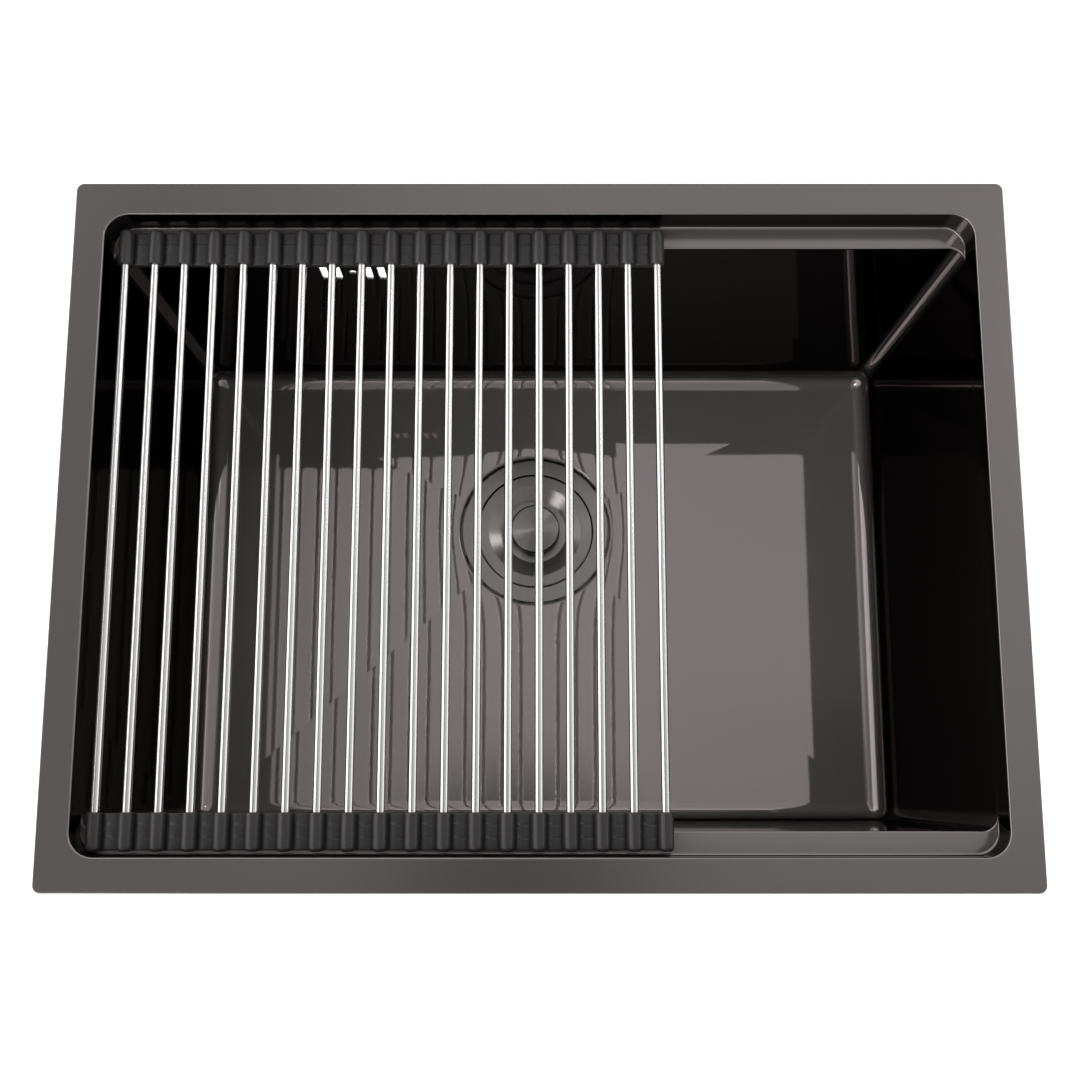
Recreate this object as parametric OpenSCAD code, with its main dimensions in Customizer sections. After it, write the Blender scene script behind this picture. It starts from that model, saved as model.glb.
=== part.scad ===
// Workstation kitchen sink: a deep one-bowl sink of dark coated steel, whose front and back walls carry a
// ledge just below the rim, with a roll-up drying rack that lies on the ledges and a lidded basket strainer.
// Millimetres. X runs left to right, Y front to back, Z up. The origin is the centre of the rim's top face.

/* [Rim] */
// Width of the rim, left to right
rim_width = 610; // [560:1:760]
// Depth of the rim, front to back
rim_depth = 457; // [430:1:520]
// Radius of the rim's outer corners
rim_corner = 5; // [2:0.5:12]
// Width of the rim along the left and right
rim_side = 20; // [14:0.5:30]
// Width of the rim along the front and back
rim_end = 21.5; // [14:0.5:28]
// Thickness of the steel sheet
sheet = 1.5; // [1:0.1:2.5]

/* [Ledges] */
// Drop from the rim down to the two ledges
ledge_drop = 18; // [14:0.5:30]
// Width of each ledge
ledge_width = 15; // [10:0.5:22]

/* [Bowl] */
// Depth from the rim to the floor where it meets the walls
bowl_depth = 254; // [180:1:300]
// Radius of the upright corners of the opening and the bowl, and of the bend between walls and floor
bowl_corner = 15; // [13:0.5:20]
// Fall of the four floor planes down to the drain
floor_fall = 3; // [1:0.5:8]

/* [Drain place] */
// Sideways place of the drain
drain_x = -4; // [-60:1:60]
// Front-to-back place of the drain
drain_y = 54; // [0:1:56]
// Drop of the dished floor at the drain below the foot of the floor planes
dish_drop = 2; // [0.5:0.5:4]
// Slope of the dished floor, degrees
dish_slope = 6.5; // [5:0.5:10]
// Depth of the pressed seat for the strainer's flange
seat_depth = 2.5; // [2:0.1:5]
// Gap round the strainer's flange in its seat
seat_gap = 1.6; // [0.5:0.1:3]
// Gap round the strainer body in the drain hole
hole_gap = 3.3; // [1.8:0.1:5]

/* [Overflow] */
// Sideways place of the overflow openings
overflow_x = -131; // [-180:1:180]
// Drop of the overflow's centre below the rim
overflow_drop = 53; // [40:1:90]
// Radius of the screw hole in the middle
overflow_hole_r = 2.65; // [2:0.05:4]
// Width of each slot
slot_width = 5.3; // [4.6:0.1:7]
// Height of each slot
slot_height = 22; // [14:1:30]
// Distance from the hole to the inner slots
slot_inner = 10.9; // [8:0.1:14]
// Distance between the inner and the outer slots
slot_step = 9.2; // [8:0.1:12]
// Steel between the outer slots and the edge of the plate they are cut in
overflow_margin = 9; // [5:0.5:14]

/* [Sound pads] */
// Thickness of the rubber pads on the outside
pad_thickness = 3; // [1.5:0.5:6]
// Distance from the floor's front and back edges to the ends of the pads under it
floor_pad_margin = 7; // [2:1:60]
// Width of each pad under the floor
floor_pad_width = 80; // [40:5:90]
// Distance from the drain's centre to the near edge of a floor pad
floor_pad_offset = 82; // [78:1:90]
// Distance from the side walls to the ends of the pads on the front and back walls
long_pad_margin = 95; // [30:5:120]
// Distance from the front and back walls to the ends of the pads on the side walls
short_pad_margin = 72; // [30:1:100]
// Height of the wall pads
wall_pad_height = 130; // [60:5:150]
// Radius of the pads' corners
pad_corner = 12; // [2:1:20]

/* [Strainer body] */
// Radius of the strainer's flange
flange_r = 63; // [61:0.5:68]
// Thickness of the strainer's metal
strainer_wall = 1.5; // [1:0.1:2]
// Thickness of the seal under the flange
flange_seal_t = 0.8; // [0.5:0.1:1.5]
// Width of the flange, from its edge to the mouth in which the lid sits
flange_width = 12.8; // [11:0.1:14]
// Depth of the mouth, down to the shelf for the basket's rim
mouth_depth = 6; // [5:0.5:10]
// Width of the shelf for the basket's rim, from the mouth to the cup
shelf_width = 3.7; // [3.5:0.1:6]
// Depth of the cup below the flange's top
cup_depth = 54; // [46:1:80]
// Outer radius of the outlet's thread
outlet_r = 24; // [20:0.5:26]
// Wall of the outlet
outlet_wall = 4.5; // [3:0.1:6]
// Length of the outlet's thread below the cup
outlet_length = 24; // [14:1:40]

/* [Strainer fixings] */
// Thickness of the rubber gasket under the floor
gasket_t = 3; // [2:0.1:5]
// How far the gasket, the friction ring and the nut's face reach past the drain hole
gasket_reach = 11; // [6:0.5:15]
// Thickness of the friction ring
friction_t = 1; // [0.5:0.1:2]
// Height of the lock nut
nut_height = 14; // [10:1:20]
// Height of the lock nut's face
nut_face = 4; // [2:0.5:6]
// Number of lugs round the lock nut
nut_lugs = 8; // [4:1:12]
// Radial thickness of the lock nut's collar
nut_collar = 7; // [5:0.5:9]
// Width of a lug
lug_width = 9; // [5:0.5:14]

/* [Basket] */
// Depth of the basket below its rim
basket_depth = 38; // [26:1:40]
// Radial gap between the basket and the cup at the top
basket_gap = 1.2; // [0.5:0.1:3]
// How much the basket narrows from its rim to its bottom, as a radius
basket_taper = 3; // [0:0.5:6]
// Thickness of the basket's metal
basket_wall = 0.9; // [0.6:0.1:1.5]
// Width of the basket's rim
basket_rim = 3.9; // [3.2:0.1:4.5]
// Radius of the holes in the basket
basket_hole_r = 2; // [1:0.1:2.5]
// Rows of holes round the basket's wall
wall_hole_rows = 3; // [1:1:4]
// Holes in each row of the wall
wall_holes = 20; // [8:1:24]
// Rings of holes in the basket's bottom
floor_hole_rings = 2; // [1:1:3]
// Radius of the grip's stem
grip_stem_r = 3; // [2:0.5:4]
// Radius of the grip's ball
grip_ball_r = 6; // [5:0.5:8]
// Height of the grip's ball centre above the basket's bottom
grip_height = 16; // [12:1:18]

/* [Lid] */
// Gap between the lid and the mouth
lid_gap = 1.2; // [0.9:0.1:2]
// Thickness of the lid's metal
lid_wall = 0.9; // [0.6:0.1:1.5]
// Radius at which the lid's flat edge turns into the dish
lid_dish_r = 40; // [36:0.5:43]
// Radius at which the dish meets the flat round the knob
lid_flat_r = 27; // [25:0.5:32]
// Depth of the dish
lid_dish_depth = 4.5; // [2:0.5:6]
// Depth of the lid's turned-down edge
lid_skirt = 4; // [2:0.5:6]
// Radius of the knob
knob_r = 21; // [14:0.5:23]
// Height of the knob above the lid's flat edge
knob_rise = 8.5; // [5:0.5:16]
// Depth of the hollow cone in the knob's top
knob_hollow = 2.5; // [1:0.5:5]
// Width of the knob's rim round the hollow
knob_rim = 0.8; // [0.5:0.1:3]
// Radius of the stud that holds the knob
stud_r = 3; // [2:0.5:4]
// Length of the stud below the lid
stud_length = 6; // [4:0.5:8]
// Width across the flats of the stud's nut
stud_nut_flats = 10; // [8:1:13]
// Thickness of the stud's nut
stud_nut_t = 4; // [3:0.5:6]

/* [Rack] */
// Number of rods
rod_count = 19; // [8:1:19]
// Radius of a rod
rod_r = 2.7; // [2:0.1:3.5]
// Distance between rods
rod_pitch = 19.6; // [17:0.1:20]
// Gap between the rack's ends and the walls at the ends of the ledges, the mean of front and back
rack_end_gap = 4; // [3:0.1:8]
// Place of the rack's middle, front to back
rack_y = -1.4; // [-2:0.1:2]
// Gap between the leftmost sleeve and the wall at its left
rack_side_gap = 5.4; // [5.4:0.1:30]
// Radius of a silicone sleeve
sleeve_r = 4.8; // [4.2:0.1:5.5]
// Length of a sleeve
sleeve_length = 24; // [18:0.5:30]
// Radius of a sleeve's rounded ends
sleeve_round = 2.6; // [2.4:0.1:3.4]
// Thickness of the strip between two sleeves
web_thickness = 2.6; // [1.6:0.1:3.2]
// How much shorter the strip is than a sleeve at each end
web_inset = 0.6; // [0:0.1:2]
// Depth of a rod's end in its sleeve
rod_grip = 21; // [14:0.5:26]

/* [Clearances] */
// Running clearance between pieces that move
clearance = 0.3; // [0.2:0.05:0.5]

/* [Hidden] */

function two_digits(i) = i < 10 ? str("0", i) : str(i);

$fn = 64;
// Small overlap that makes cuts run clean through a face
cut = 1;

steel_dark = "#6a6462";
steel_black = "#2c2a2a";
steel_bright = "#c9c7c5";
silicone = "#3e3b3a";
rubber_black = "#1b1b1b";
nylon_white = "#d9d6cf";
fibre_red = "#8a4a35";

// Opening and bowl
opening_width = rim_width - 2 * rim_side;
opening_depth = rim_depth - 2 * rim_end;
bowl_width = opening_width;
bowl_length = opening_depth - 2 * ledge_width;
wall_y = bowl_length / 2;
collar_bottom = ledge_drop + sheet;

// Plate of the back wall that holds the overflow openings
overflow_half = slot_inner + slot_step + slot_width / 2 + overflow_margin;
overflow_foot = -overflow_drop - slot_height / 2 - overflow_margin;

// Floor, from the wall fillets down to the drain
floor_x = bowl_width / 2 - bowl_corner;
floor_y = bowl_length / 2 - bowl_corner;
floor_z = -bowl_depth;
foot_z = floor_z + bowl_corner;
apex_z = floor_z - floor_fall;
dish_z = apex_z - dish_drop;
seat_r = flange_r + seat_gap;
seat_z = dish_z - seat_depth;
// The dish rises until it has passed the highest stretch of floor
dish_reach = (dish_drop + floor_fall + cut) / tan(dish_slope);
floor_under_z = seat_z - sheet;

// Strainer, from the flange down
strainer_z = seat_z + flange_seal_t + strainer_wall;
shelf_z = strainer_z - mouth_depth;
cup_z = strainer_z - cup_depth;
mouth_r = flange_r - flange_width;
mouth_outer_r = mouth_r + strainer_wall;
drain_hole_r = mouth_outer_r + hole_gap;
cup_r = mouth_r - shelf_width;
cup_outer_r = cup_r + strainer_wall;
outlet_z = cup_z - strainer_wall - outlet_length;
outlet_bore_r = outlet_r - outlet_wall;
gasket_inner_r = mouth_outer_r + clearance;
gasket_r = drain_hole_r + gasket_reach;
nut_top_z = floor_under_z - gasket_t - friction_t;
nut_bore_r = cup_outer_r + clearance;
nut_collar_r = nut_bore_r + nut_collar;

// Basket, resting on the shelf
basket_rim_z = shelf_z + clearance;
basket_r = cup_r - basket_gap;
basket_rim_r = basket_r + basket_rim;
basket_bottom_z = basket_rim_z - basket_depth;
basket_bottom_r = basket_r - basket_taper;
grip_z = basket_bottom_z + basket_wall + grip_height;

// Lid, resting on the basket's rim
lid_r = mouth_r - lid_gap;
lid_edge_z = basket_rim_z + basket_wall + clearance + lid_skirt;
lid_flat_z = lid_edge_z - lid_dish_depth;
knob_top_z = lid_edge_z + knob_rise;

// Rack, lying on the ledges
rack_length = opening_depth - 2 * rack_end_gap;
first_rod_x = rack_side_gap + sleeve_r - opening_width / 2;
grip_bottom_z = -ledge_drop + clearance;
rod_z = grip_bottom_z + sleeve_r;
rack_front = rack_y - rack_length / 2;
rod_length = rack_length - 2 * (sleeve_length - rod_grip);
half_web = rod_pitch / 2 - clearance / 2;

function rod_x(i) = first_rod_x + (i - 1) * rod_pitch;

// A rectangle with round corners, centred
module rounded_rectangle(width, depth, corner) {
    square([width - 2 * corner, depth], center = true);
    square([width, depth - 2 * corner], center = true);
    for (sx = [-1, 1], sy = [-1, 1])
        translate([sx * (width / 2 - corner), sy * (depth / 2 - corner)]) circle(corner);
}

// An upright block of that outline, from z_low to z_high
module rounded_block(width, depth, corner, z_low, z_high) {
    translate([0, 0, z_low]) linear_extrude(z_high - z_low) rounded_rectangle(width, depth, corner);
}

// The four floor planes: a shallow upside-down pyramid whose tip is at the drain, with a block above it
module floor_planes(drop) {
    base = floor_z - drop;
    corners = [[-floor_x, -floor_y], [floor_x, -floor_y], [floor_x, floor_y], [-floor_x, floor_y]];
    polyhedron(
        points = concat(
            [for (p = corners) [p.x, p.y, base + cut]],
            [for (p = corners) [p.x, p.y, base]],
            [[drain_x, drain_y, apex_z - drop]]),
        faces = concat(
            [[3, 2, 1, 0]],
            [for (i = [0 : 3]) [i, (i + 1) % 4, 4 + (i + 1) % 4, 4 + i]],
            [for (i = [0 : 3]) [4 + i, 4 + (i + 1) % 4, 8]]));
}

// Everything from the floor's surface, lowered by drop, up to z_high: four planes, dish and strainer seat
module floor_form(drop, z_high) {
    translate([-floor_x, -floor_y, floor_z - drop]) cube([2 * floor_x, 2 * floor_y, z_high - floor_z + drop]);
    floor_planes(drop);
    translate([drain_x, drain_y, 0]) rotate_extrude() polygon([
        [0, seat_z - drop],
        [seat_r + drop, seat_z - drop],
        [seat_r + drop, dish_z - drop],
        [seat_r + drop + dish_reach, dish_z - drop + dish_reach * tan(dish_slope)],
        [0, dish_z - drop + dish_reach * tan(dish_slope)]]);
}

// The plates on the four straight sides of an opening, between its upright corners
module straight_walls(width, depth, corner, z_low, z_high) {
    for (turn = [0, 180]) rotate([0, 0, turn]) translate([0, 0, z_low]) {
        translate([width / 2, corner - depth / 2, 0]) cube([sheet, depth - 2 * corner, z_high - z_low]);
        translate([corner - width / 2, depth / 2, 0]) cube([width - 2 * corner, sheet, z_high - z_low]);
    }
}

// The quarter tubes at its four upright corners
module corner_walls(width, depth, corner, z_low, z_high) {
    for (sx = [-1, 1], sy = [-1, 1])
        translate([sx * (width / 2 - corner), sy * (depth / 2 - corner), z_low])
            intersection() {
                rotate_extrude() translate([corner, 0]) square([sheet, z_high - z_low]);
                translate([min(sx, 0) * 2 * corner, min(sy, 0) * 2 * corner, 0])
                    cube([2 * corner, 2 * corner, z_high - z_low]);
            }
}

// The flat rim that goes against the worktop
module rim() {
    color(steel_dark) difference() {
        rounded_block(rim_width, rim_depth, rim_corner, -sheet, 0);
        rounded_block(opening_width, opening_depth, bowl_corner, -sheet - cut, cut);
    }
}

module collar_walls() {
    color(steel_dark) straight_walls(opening_width, opening_depth, bowl_corner, -collar_bottom, -sheet);
}

module collar_corners() {
    color(steel_dark) corner_walls(opening_width, opening_depth, bowl_corner, -collar_bottom, -sheet);
}

// The two ledges, whose ends run out between the corners of the opening and of the bowl
module ledges() {
    color(steel_dark) difference() {
        rounded_block(opening_width, opening_depth, bowl_corner, -collar_bottom, -ledge_drop);
        rounded_block(bowl_width, bowl_length, bowl_corner, -collar_bottom - cut, cut);
    }
}

// One upright slot with round ends, through the back wall
module overflow_slot() {
    end_z = (slot_height - slot_width) / 2;
    rotate([90, 0, 0]) linear_extrude(2 * (sheet + cut), center = true) {
        square([slot_width, 2 * end_z], center = true);
        for (z = [-end_z, end_z]) translate([0, z]) circle(slot_width / 2);
    }
}

module overflow_cuts() {
    translate([overflow_x, wall_y, -overflow_drop]) {
        rotate([90, 0, 0]) cylinder(r = overflow_hole_r, h = 2 * (sheet + cut), center = true);
        for (side = [-1, 1], k = [0, 1])
            translate([side * (slot_inner + k * slot_step), 0, 0]) overflow_slot();
    }
}

// The stretch of back wall that holds the overflow plate, from z_low to z_high
module overflow_stretch(z_low, z_high) {
    translate([overflow_x - overflow_half, wall_y, z_low]) cube([2 * overflow_half, sheet, z_high - z_low]);
}

// The bowl's straight walls, without the stretch that holds the overflow plate
module bowl_walls() {
    color(steel_black) difference() {
        straight_walls(bowl_width, bowl_length, bowl_corner, foot_z, -collar_bottom);
        translate([overflow_x - overflow_half, wall_y - cut, foot_z - cut])
            cube([2 * overflow_half, sheet + 2 * cut, -collar_bottom - foot_z + 2 * cut]);
    }
}

module overflow_plate() {
    color(steel_black) difference() {
        overflow_stretch(overflow_foot, -collar_bottom);
        overflow_cuts();
    }
}

module wall_below_overflow() {
    color(steel_black) overflow_stretch(foot_z, overflow_foot);
}

module bowl_corners() {
    color(steel_black) corner_walls(bowl_width, bowl_length, bowl_corner, foot_z, -collar_bottom);
}

// Section through the rounded foot of a wall, about the middle of its bend
module foot_section() {
    intersection() {
        difference() {
            circle(bowl_corner + sheet);
            circle(bowl_corner);
        }
        translate([0, -bowl_corner - sheet]) square(bowl_corner + sheet);
    }
}

// The same along two facing walls, far from the middle and as long as the floor
module foot_pair(far, length) {
    for (turn = [0, 180]) rotate([0, 0, turn])
        translate([far, 0, foot_z]) rotate([90, 0, 0]) linear_extrude(length, center = true) foot_section();
}

module side_bends() {
    color(steel_black) foot_pair(floor_x, 2 * floor_y);
}

module end_bends() {
    color(steel_black) rotate([0, 0, 90]) foot_pair(floor_y, 2 * floor_x);
}

// The four round corners between the bends
module foot_corners() {
    color(steel_black) for (sx = [-1, 1], sy = [-1, 1])
        translate([sx * floor_x, sy * floor_y, foot_z]) intersection() {
            rotate_extrude() foot_section();
            translate([min(sx, 0) * 2 * bowl_corner, min(sy, 0) * 2 * bowl_corner, -2 * bowl_corner])
                cube(2 * bowl_corner);
        }
}

// The creased floor with its dish, strainer seat and drain hole
module bowl() {
    color(steel_black) difference() {
        floor_form(sheet, floor_z);
        floor_form(0, foot_z);
        translate([drain_x, drain_y, floor_under_z - cut])
            cylinder(r = drain_hole_r, h = seat_depth + sheet + 2 * cut);
    }
}

// Two pads that follow the underside of the floor, left and right of the drain
module floor_pads() {
    color(rubber_black) difference() {
        intersection() {
            for (side = [-1, 1])
                translate([drain_x + side * (floor_pad_offset + floor_pad_width / 2), 0, 0])
                    rounded_block(floor_pad_width, 2 * (floor_y - floor_pad_margin), pad_corner,
                        floor_under_z - pad_thickness, floor_z);
            translate([0, 0, -pad_thickness]) floor_form(sheet, foot_z);
        }
        floor_form(sheet, foot_z);
    }
}

// One pad, standing in the XZ plane with its back at y = 0
module wall_pad(length) {
    rotate([90, 0, 0]) translate([0, 0, -pad_thickness]) linear_extrude(pad_thickness)
        rounded_rectangle(length, wall_pad_height, pad_corner);
}

module wall_pads() {
    mid_z = (floor_z + bowl_corner - overflow_drop - slot_height / 2) / 2;
    color(rubber_black) translate([0, 0, mid_z]) for (turn = [0, 180]) rotate([0, 0, turn]) {
        translate([0, wall_y + sheet, 0]) wall_pad(bowl_width - 2 * long_pad_margin);
        rotate([0, 0, 90]) translate([0, bowl_width / 2 + sheet, 0]) wall_pad(bowl_length - 2 * short_pad_margin);
    }
}

// Places its children on the drain's axis
module at_drain() {
    translate([drain_x, drain_y, 0]) children();
}

// A turned ring between two radii and two heights
module turned_ring(inner, outer, z_low, z_high) {
    translate([0, 0, z_low]) rotate_extrude()
        translate([inner, 0]) square([outer - inner, z_high - z_low]);
}

module strainer_body() {
    flange_bottom = strainer_z - strainer_wall;
    shelf_bottom = shelf_z - strainer_wall;
    cup_bottom = cup_z - strainer_wall;
    color(steel_dark) at_drain() rotate_extrude() polygon([
        [mouth_r, strainer_z],
        [flange_r, strainer_z],
        [flange_r, flange_bottom],
        [mouth_outer_r, flange_bottom],
        [mouth_outer_r, shelf_bottom],
        [cup_outer_r, shelf_bottom],
        [cup_outer_r, cup_bottom],
        [outlet_bore_r, cup_bottom],
        [outlet_bore_r, cup_z],
        [cup_r, cup_z],
        [cup_r, shelf_z],
        [mouth_r, shelf_z]]);
}

// The threaded outlet under the cup, its thread drawn plain
module strainer_outlet() {
    color(steel_dark) at_drain() turned_ring(outlet_bore_r, outlet_r, outlet_z, cup_z - strainer_wall);
}

module flange_seal() {
    color(nylon_white) at_drain()
        turned_ring(drain_hole_r, flange_r - flange_seal_t, seat_z, seat_z + flange_seal_t);
}

module body_gasket() {
    color(rubber_black) at_drain()
        turned_ring(gasket_inner_r, gasket_r, floor_under_z - gasket_t, floor_under_z);
}

module friction_ring() {
    color(fibre_red) at_drain()
        turned_ring(gasket_inner_r, gasket_r, nut_top_z, nut_top_z + friction_t);
}

module lock_nut() {
    color(nylon_white) at_drain() {
        turned_ring(nut_bore_r, gasket_r, nut_top_z - nut_face, nut_top_z);
        turned_ring(nut_bore_r, nut_collar_r, nut_top_z - nut_height, nut_top_z);
        for (i = [0 : nut_lugs - 1]) rotate([0, 0, i * 360 / nut_lugs])
            translate([nut_collar_r - nut_collar / 2, -lug_width / 2, nut_top_z - nut_height])
                cube([gasket_r - nut_collar_r + nut_collar / 2 - clearance, lug_width, nut_height]);
    }
}

// Upright shell of the basket: a rim, a wall that narrows downwards and a flat bottom
module basket_shell() {
    rotate_extrude() polygon([
        [0, basket_bottom_z],
        [basket_bottom_r, basket_bottom_z],
        [basket_r, basket_rim_z],
        [basket_rim_r, basket_rim_z],
        [basket_rim_r, basket_rim_z + basket_wall],
        [basket_r - basket_wall, basket_rim_z + basket_wall],
        [basket_bottom_r - basket_wall, basket_bottom_z + basket_wall],
        [0, basket_bottom_z + basket_wall]]);
}

module basket() {
    row_step = basket_depth / (wall_hole_rows + 1);
    ring_step = (basket_bottom_r - grip_stem_r) / (floor_hole_rings + 1);
    color(steel_bright) at_drain() difference() {
        basket_shell();
        for (row = [1 : wall_hole_rows], i = [0 : wall_holes - 1])
            rotate([0, 0, (i + (row % 2) / 2) * 360 / wall_holes])
                translate([basket_bottom_r - basket_taper - cut, 0, basket_bottom_z + row * row_step])
                    rotate([0, 90, 0]) cylinder(r = basket_hole_r, h = 2 * basket_taper + basket_rim + cut);
        for (ring = [1 : floor_hole_rings], i = [0 : 8 * ring - 1])
            rotate([0, 0, i * 360 / (8 * ring)])
                translate([grip_stem_r + ring * ring_step, 0, basket_bottom_z - cut])
                    cylinder(r = basket_hole_r, h = basket_wall + 2 * cut);
        translate([0, 0, basket_bottom_z - cut]) cylinder(r = grip_stem_r, h = basket_wall + 2 * cut);
    }
}

// The grip that lifts the basket: a stem with a ball, and a head under the basket's bottom
module basket_grip() {
    head = basket_wall;
    color(steel_bright) at_drain() {
        translate([0, 0, basket_bottom_z - head]) cylinder(r = grip_stem_r, h = grip_z - basket_bottom_z + head);
        translate([0, 0, basket_bottom_z - head]) cylinder(r = 2 * grip_stem_r, h = head);
        translate([0, 0, grip_z]) sphere(grip_ball_r);
    }
}

module lid() {
    under = lid_wall;
    color(steel_dark) at_drain() rotate_extrude() polygon([
        [stud_r, lid_flat_z],
        [lid_flat_r, lid_flat_z],
        [lid_dish_r, lid_edge_z],
        [lid_r, lid_edge_z],
        [lid_r, lid_edge_z - lid_skirt],
        [lid_r - lid_wall, lid_edge_z - lid_skirt],
        [lid_r - lid_wall, lid_edge_z - under],
        [lid_dish_r, lid_edge_z - under],
        [lid_flat_r, lid_flat_z - under],
        [stud_r, lid_flat_z - under]]);
}

// The knob: a turned disc with a shallow hollow cone in its top and a stud through the lid
module lid_knob() {
    color(steel_dark) at_drain() rotate_extrude() polygon([
        [0, knob_top_z - knob_hollow],
        [knob_r - knob_rim, knob_top_z],
        [knob_r, knob_top_z],
        [knob_r, lid_flat_z],
        [stud_r, lid_flat_z],
        [stud_r, lid_flat_z - lid_wall - stud_length],
        [0, lid_flat_z - lid_wall - stud_length]]);
}

module lid_nut() {
    nut_high = lid_flat_z - lid_wall;
    color(steel_bright) at_drain() translate([0, 0, nut_high - stud_nut_t]) difference() {
        cylinder(r = stud_nut_flats / 2 / cos(30), h = stud_nut_t, $fn = 6);
        translate([0, 0, -cut]) cylinder(r = stud_r, h = stud_nut_t + 2 * cut);
    }
}

// One rod of the rack
module rod(i) {
    color(steel_bright) translate([rod_x(i), rack_y, rod_z]) rotate([90, 0, 0])
        cylinder(r = rod_r, h = rod_length, center = true);
}

// Half a sleeve's section: a bar with both outer corners rounded
module sleeve_section() {
    intersection() {
        union() {
            square([sleeve_r - sleeve_round, sleeve_length]);
            translate([0, sleeve_round]) square([sleeve_r, sleeve_length - 2 * sleeve_round]);
            for (y = [sleeve_round, sleeve_length - sleeve_round])
                translate([sleeve_r - sleeve_round, y]) circle(sleeve_round);
        }
        square([sleeve_r, sleeve_length]);
    }
}

// The silicone at one end of a rod, with its closed end at y = 0 and the rod going in from +Y:
// a round sleeve, and the halves of the strips that join it to its neighbours
module grip_end(i) {
    web_left = i > 1 ? half_web : 0;
    web_right = i < rod_count ? half_web : 0;
    difference() {
        union() {
            translate([0, 0, rod_z]) rotate([-90, 0, 0]) rotate_extrude() sleeve_section();
            translate([-web_left, web_inset, grip_bottom_z])
                cube([web_left + web_right, sleeve_length - 2 * web_inset, web_thickness]);
        }
        translate([0, sleeve_length - rod_grip, rod_z]) rotate([-90, 0, 0])
            cylinder(r = rod_r, h = rod_grip + cut);
    }
}

module grip(i) {
    color(silicone) translate([rod_x(i), rack_y, 0]) for (turn = [0, 1]) mirror([0, turn, 0])
        translate([0, -rack_length / 2, 0]) grip_end(i);
}

rim();
collar_walls();
collar_corners();
ledges();
bowl_walls();
overflow_plate();
wall_below_overflow();
bowl_corners();
side_bends();
end_bends();
foot_corners();
bowl();
floor_pads();
wall_pads();
strainer_body();
strainer_outlet();
flange_seal();
body_gasket();
friction_ring();
lock_nut();
basket();
basket_grip();
lid();
lid_knob();
lid_nut();
for (i = [1 : rod_count]) {
    rod(i);
    grip(i);
}
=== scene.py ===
"""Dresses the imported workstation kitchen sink: steel basin, strainer, roll-up rack, pads and a plain studio.

Lengths in the property groups are metres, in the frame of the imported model.
"""
import math

import bpy
import numpy as np
from bpy.props import FloatProperty, FloatVectorProperty, IntProperty, PointerProperty
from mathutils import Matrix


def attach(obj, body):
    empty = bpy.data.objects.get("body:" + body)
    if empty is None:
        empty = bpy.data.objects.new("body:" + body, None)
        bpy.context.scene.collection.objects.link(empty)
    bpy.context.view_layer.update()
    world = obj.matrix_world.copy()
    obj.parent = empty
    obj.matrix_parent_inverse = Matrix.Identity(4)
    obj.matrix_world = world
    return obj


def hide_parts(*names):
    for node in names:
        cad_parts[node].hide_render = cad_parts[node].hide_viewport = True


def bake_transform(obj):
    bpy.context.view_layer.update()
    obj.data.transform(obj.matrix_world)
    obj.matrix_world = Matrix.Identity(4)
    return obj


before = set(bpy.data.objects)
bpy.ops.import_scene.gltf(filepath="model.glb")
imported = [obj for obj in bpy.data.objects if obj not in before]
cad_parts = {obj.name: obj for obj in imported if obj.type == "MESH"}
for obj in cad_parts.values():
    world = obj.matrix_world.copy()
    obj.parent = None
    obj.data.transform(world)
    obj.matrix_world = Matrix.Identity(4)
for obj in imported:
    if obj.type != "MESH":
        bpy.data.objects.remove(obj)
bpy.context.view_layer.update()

bl_info = {
    "name": "Workstation sink",
    "version": (1, 0),
    "blender": (4, 5, 0),
    "location": "3D View > Sidebar > Sink",
    "description": "Builds the visual pieces of a workstation sink",
    "category": "Object",
}


def size(name, value, description):
    """A length in metres as a panel field."""
    return FloatProperty(name=name, description=description, default=value, unit="LENGTH", precision=5)


def colour(name, value, description):
    """A colour as a panel field."""
    return FloatVectorProperty(name=name, description=description, default=value, subtype="COLOR", min=0, max=1)


def ratio(name, value, description):
    """A plain number as a panel field."""
    return FloatProperty(name=name, description=description, default=value)


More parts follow.
